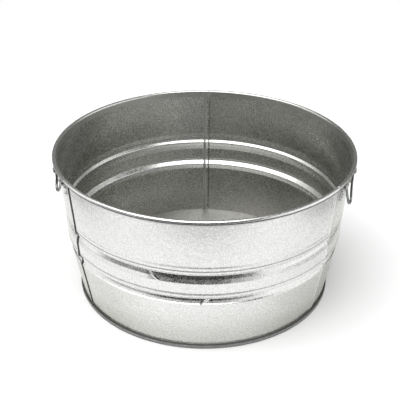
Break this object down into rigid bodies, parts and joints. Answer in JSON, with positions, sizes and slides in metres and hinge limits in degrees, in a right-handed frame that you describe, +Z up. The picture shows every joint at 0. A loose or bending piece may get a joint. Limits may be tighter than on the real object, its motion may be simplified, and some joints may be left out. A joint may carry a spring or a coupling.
{
  "type": "ice tub",
  "caption": "Round open galvanised steel tub with two swaged shoulders, a wired rim, a raised bottom and two small swinging wire drop handles, for icing drinks.",
  "frame": {"origin": "on the tub's vertical axis at the plane it stands on", "axes": "+Z up out of the open top, -Y towards the tub's front between the two visible seams, +X to the right handle's side"},
  "size_m": [0.5598, 0.5598, 0.28],
  "materials": {
    "galvanised_sheet": "hot-dip galvanised, pale satin zinc with fine spangle",
    "galvanised_bottom": "hot-dip galvanised, slightly duller on the chime",
    "galvanised_wire": "zinc-coated wire, darker and semi-gloss",
    "galvanised_strap": "galvanised strap steel",
    "zinc_rivet": "zinc-plated rivet steel"
  },
  "bodies": {
    "tub": {"wall_front": "galvanised_sheet", "wall_rear_left": "galvanised_sheet", "wall_rear_right": "galvanised_sheet", "bottom_pan": "galvanised_bottom", "rim_wire": "galvanised_wire", "ear_left_front": "galvanised_strap", "ear_left_rear": "galvanised_strap", "ear_right_front": "galvanised_strap", "ear_right_rear": "galvanised_strap", "rivet_left_front_upper": "zinc_rivet", "rivet_left_front_lower": "zinc_rivet", "rivet_left_rear_upper": "zinc_rivet", "rivet_left_rear_lower": "zinc_rivet", "rivet_right_front_upper": "zinc_rivet", "rivet_right_front_lower": "zinc_rivet", "rivet_right_rear_upper": "zinc_rivet", "rivet_right_rear_lower": "zinc_rivet"},
    "left_drop_handle": {"handle_left": "galvanised_wire"},
    "right_drop_handle": {"handle_right": "galvanised_wire"}
  },
  "joints": [
    {"name": "left_handle_swing", "type": "hinge", "parent": "tub", "child": "left_drop_handle", "pos_m": [-0.25639, -0.101, 0.26656], "axis": [-0.3665, 0.9304, 0], "range_deg": [-8, 130]},
    {"name": "right_handle_swing", "type": "hinge", "parent": "tub", "child": "right_drop_handle", "pos_m": [0.25571, -0.10072, 0.26656], "axis": [-0.3665, -0.9304, 0], "range_deg": [-8, 130]}
  ]
}
